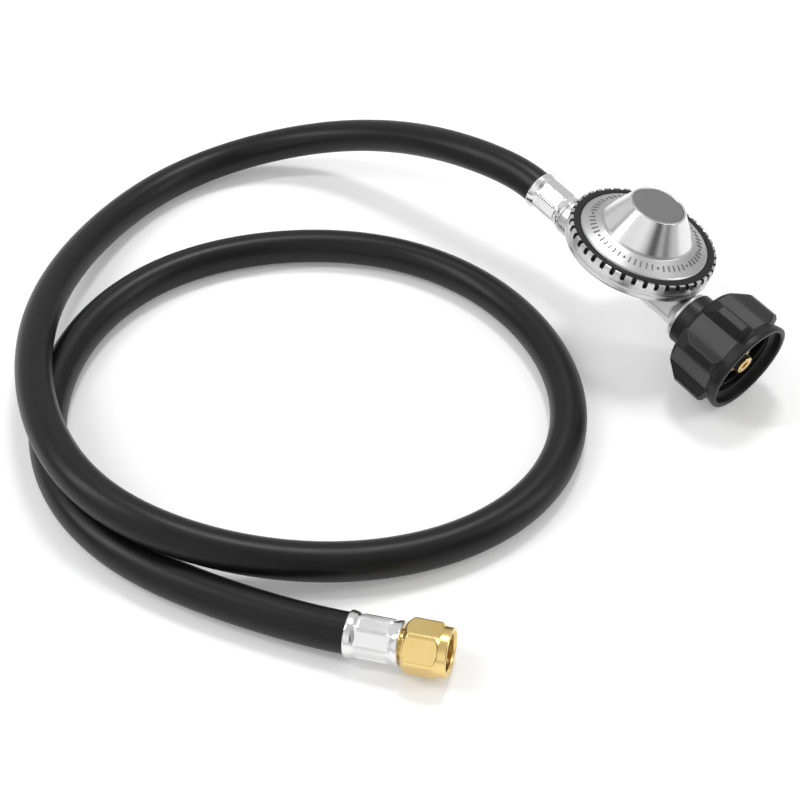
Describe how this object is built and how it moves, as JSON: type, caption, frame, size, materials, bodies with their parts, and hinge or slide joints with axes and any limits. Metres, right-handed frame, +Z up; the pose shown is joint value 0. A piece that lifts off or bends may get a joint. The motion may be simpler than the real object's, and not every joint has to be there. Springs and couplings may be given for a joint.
{
  "type": "propane regulator hose",
  "caption": "Low-pressure gas regulator with a hand-tightened black cylinder nut, on a black rubber hose that ends in a brass swivel flare nut.",
  "frame": {"origin": "on the ground, below the middle of the box round the regulator with its cylinder nut and its own ferrule", "axes": "+Z up; +X the way the cylinder nut points, level with the ground; the gas line dips 9 degrees below +X"},
  "size_m": [0.3266, 0.304, 0.0722],
  "materials": {
    "cast_body": "satin die-cast, lightly shot-blasted",
    "bonnet_metal": "satin pressed plate with a polished tower",
    "cap_grey": "matte grey",
    "seal_rubber": "satin black",
    "diaphragm_rubber": "matte",
    "spring_steel": "drawn wire",
    "steel_parts": "zinc plated",
    "brass": "machined",
    "sintered_bronze": "porous",
    "poppet_plastic": "moulded acetal",
    "bushing_plastic": "moulded",
    "nut_nylon": "moulded black nylon, satin",
    "ferrule_plate": "bright plated, crimped",
    "hose_rubber": "satin black",
    "flare_nut_brass": "bright machined"
  },
  "bodies": {
    "regulator_and_hose": {"lower_body": "cast_body", "bonnet": "bonnet_metal", "seal_ring": "seal_rubber", "tower_cap": "cap_grey", "adjusting_screw": "brass", "main_spring": "spring_steel", "diaphragm": "diaphragm_rubber", "lever_pin": "steel_parts", "inlet_orifice": "brass", "inlet_filter": "sintered_bronze", "inlet_nipple": "brass", "nipple_nose": "brass", "nipple_o_ring": "seal_rubber", "excess_flow_spring": "spring_steel", "vent_screen": "steel_parts", "outlet_barb": "brass", "regulator_ferrule": "ferrule_plate", "crimped_hose_ends": "hose_rubber", "hose": "hose_rubber", "end_ferrule": "ferrule_plate", "end_stem": "brass"},
    "diaphragm_assembly": {"diaphragm_plate": "steel_parts", "diaphragm_stem": "brass"},
    "lever": {"lever": "steel_parts"},
    "poppet": {"valve_poppet": "poppet_plastic", "valve_seat_pad": "seal_rubber"},
    "excess_flow_poppet": {"excess_flow_poppet": "brass"},
    "bushing": {"thermal_bushing": "bushing_plastic"},
    "cylinder_nut": {"cylinder_nut": "nut_nylon"},
    "flare_nut": {"flare_nut": "flare_nut_brass"}
  },
  "joints": [
    {"name": "diaphragm_lift", "type": "slide", "parent": "regulator_and_hose", "child": "diaphragm_assembly", "axis": [0.1538, 0.1822, 0.9711], "range_m": [0, 0.0024], "stiffness_N_per_m": 800, "springref_m": -0.002, "deforming": ["main_spring", "diaphragm"]},
    {"name": "lever_swing", "type": "hinge", "parent": "regulator_and_hose", "child": "lever", "pos_m": [-0.01985, -0.00084, 0.04481], "axis": [0.0285, -0.9833, 0.18], "range_deg": [0, 9.9]},
    {"name": "poppet_slide", "type": "slide", "parent": "regulator_and_hose", "child": "poppet", "axis": [0.9877, 0, -0.1564], "range_m": [0, 0.0014]},
    {"name": "excess_flow_slide", "type": "slide", "parent": "regulator_and_hose", "child": "excess_flow_poppet", "axis": [-0.9877, 0, 0.1564], "range_m": [0, 0.002], "stiffness_N_per_m": 60, "springref_m": -0.002, "deforming": ["excess_flow_spring"]},
    {"name": "nut_float", "type": "slide", "parent": "regulator_and_hose", "child": "bushing", "axis": [0.9877, 0, -0.1564], "range_m": [0, 0.0024]},
    {"name": "nut_spin", "type": "hinge", "parent": "bushing", "child": "cylinder_nut", "pos_m": [0.04213, -0.0023, 0.02703], "axis": [0.9877, 0, -0.1564], "continuous": true},
    {"name": "flare_nut_spin", "type": "hinge", "parent": "regulator_and_hose", "child": "flare_nut", "pos_m": [0.07869, -0.19759, 0.01129], "axis": [0.8231, 0.5636, 0.0698], "continuous": true}
  ],
  "couplings": [
    {"joint": "lever_swing", "follows": "diaphragm_lift", "rad_per_m": 71.429},
    {"joint": "poppet_slide", "follows": "diaphragm_lift", "ratio": 0.5714}
  ]
}
